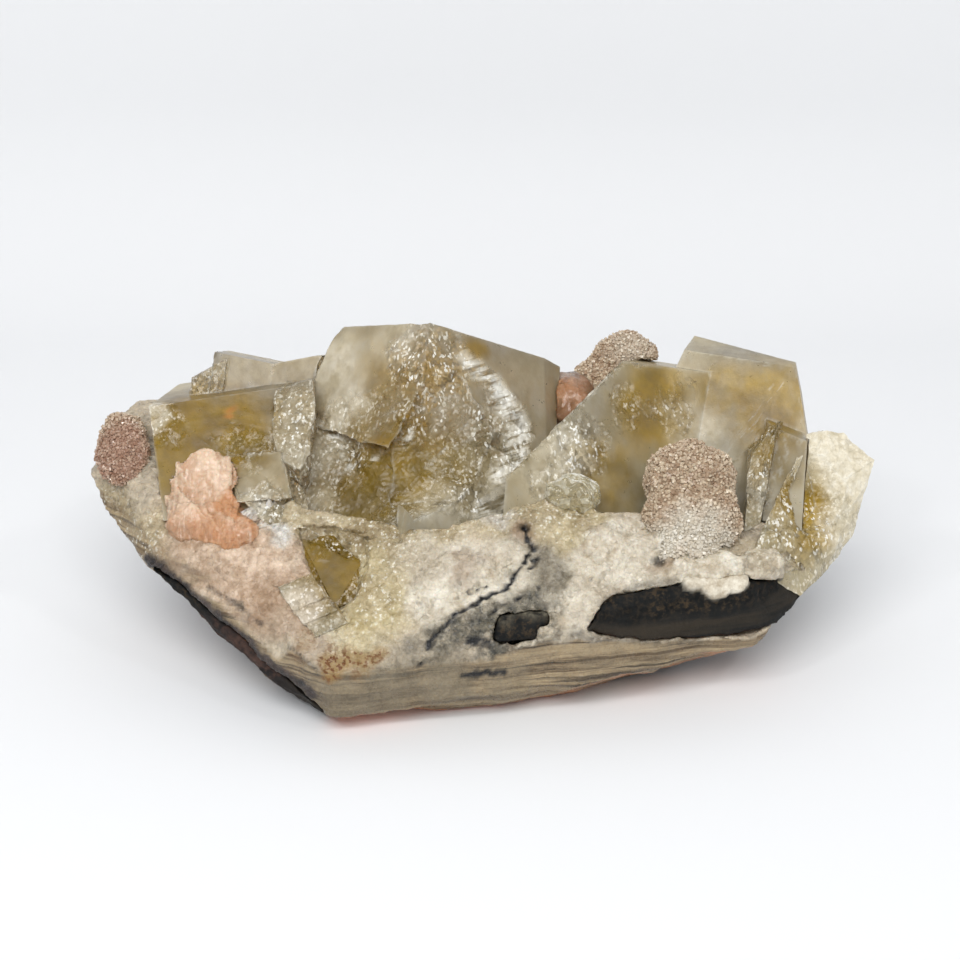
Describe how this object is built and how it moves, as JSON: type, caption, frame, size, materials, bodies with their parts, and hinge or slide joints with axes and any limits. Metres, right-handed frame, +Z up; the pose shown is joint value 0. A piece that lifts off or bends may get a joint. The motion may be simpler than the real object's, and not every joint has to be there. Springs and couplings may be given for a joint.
{
  "type": "calcite specimen",
  "caption": "Hand specimen of honey calcite crystals on white chalcedony crust and dark basalt, with peach stilbite and sugary druse.",
  "frame": {"origin": "middle of the bounding box in plan, at the flat facet that the specimen rests on", "axes": "+X along the specimen, +Y from its front slope to its back, +Z up"},
  "size_m": [0.1786, 0.0916, 0.0715],
  "materials": {
    "basalt": "rough dark grey-brown volcanic rock",
    "chalcedony": "grainy white, cream and grey mineral crust",
    "calcite": "honey and grey-green see-through crystal, frosted natural faces and glossy broken ones",
    "calcite_cream": "milky cream to yellow crystal with a frosted rim",
    "clear_calcite": "clear glossy crystal chip",
    "stilbite": "peach, pearly, slightly see-through blades",
    "druse": "brown-pink sugary grains that sparkle"
  },
  "bodies": {
    "root": {"basalt_matrix": "basalt", "chalcedony_crust": "chalcedony", "calcite_centre": "calcite", "calcite_left_cluster": "calcite", "calcite_right_cluster": "calcite", "calcite_front_left": "calcite", "calcite_far_right": "calcite_cream", "calcite_chip": "clear_calcite", "stilbite_sheaf": "stilbite", "stilbite_back": "stilbite", "druse_left": "druse", "druse_knob_front": "druse", "druse_knob_back": "druse"}
  },
  "joints": []
}
